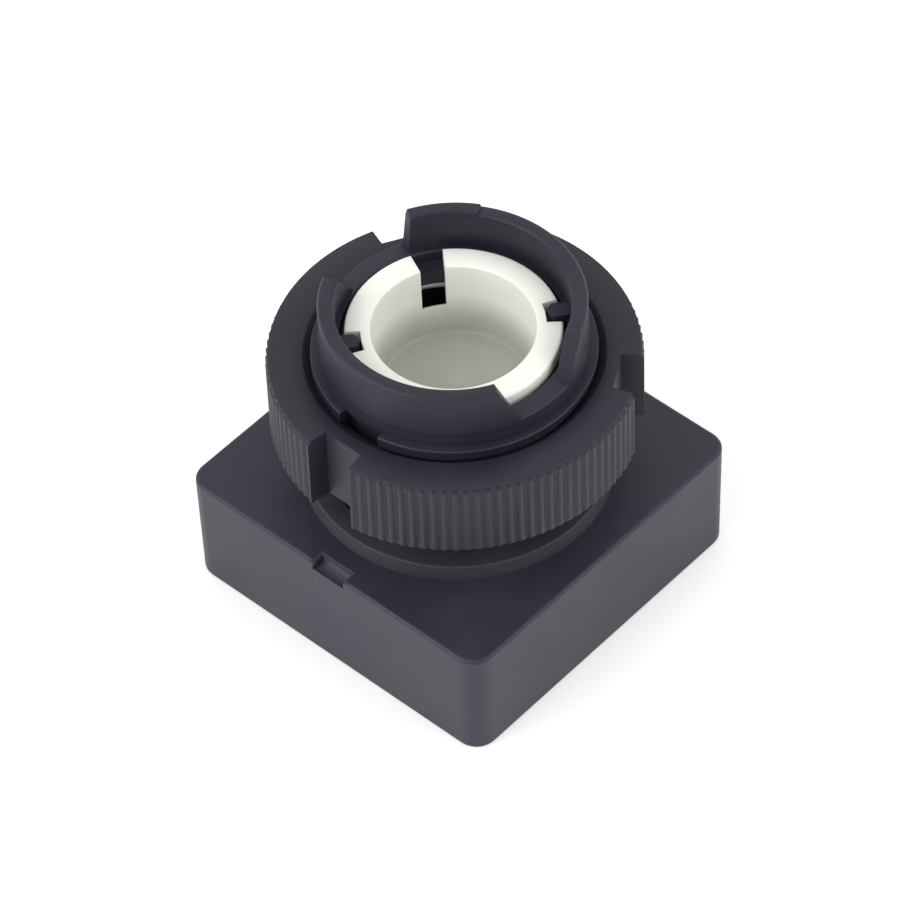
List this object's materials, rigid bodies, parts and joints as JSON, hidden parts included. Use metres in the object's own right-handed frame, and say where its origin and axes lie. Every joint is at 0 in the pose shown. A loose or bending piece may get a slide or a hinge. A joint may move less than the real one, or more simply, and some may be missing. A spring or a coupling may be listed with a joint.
{
  "type": "illuminated push button head",
  "caption": "Square illuminated push button head with a sprung translucent lens, threaded neck, knurled ring nut and bayonet collar.",
  "frame": {"origin": "centre of the square front face, which lies on the surface", "axes": "+Z from the front face to the rear along the button's axis, -X towards the side with the pry slot and the keyway"},
  "size_m": [0.03, 0.03, 0.0288],
  "materials": {
    "black_plastic": "fine spark grain",
    "nut_plastic": "fine grain, worn on the ridges",
    "seal_rubber": "matt",
    "spring_steel": "drawn wire",
    "white_plastic": "translucent, satin",
    "legend_film": "frosted film",
    "lens_plastic": "translucent, semi-gloss"
  },
  "bodies": {
    "housing": {"housing": "black_plastic", "panel_gasket": "seal_rubber", "stem_seal": "seal_rubber", "seal_washer": "black_plastic", "return_spring": "spring_steel"},
    "button": {"plunger_cup": "white_plastic", "button_carrier": "black_plastic", "diffuser": "white_plastic", "legend_plate": "legend_film", "lens_cap": "lens_plastic"},
    "ring_nut": {"ring_nut": "nut_plastic"}
  },
  "joints": [
    {"name": "button_press", "type": "slide", "parent": "housing", "child": "button", "axis": [0, 0, 1], "range_m": [0, 0.0035], "stiffness_N_per_m": 600, "springref_m": -0.004, "deforming": ["return_spring"]},
    {"name": "nut_turn", "type": "hinge", "parent": "housing", "child": "ring_nut", "pos_m": [0, 0, 0.0196], "axis": [0, 0, 1], "continuous": true}
  ]
}
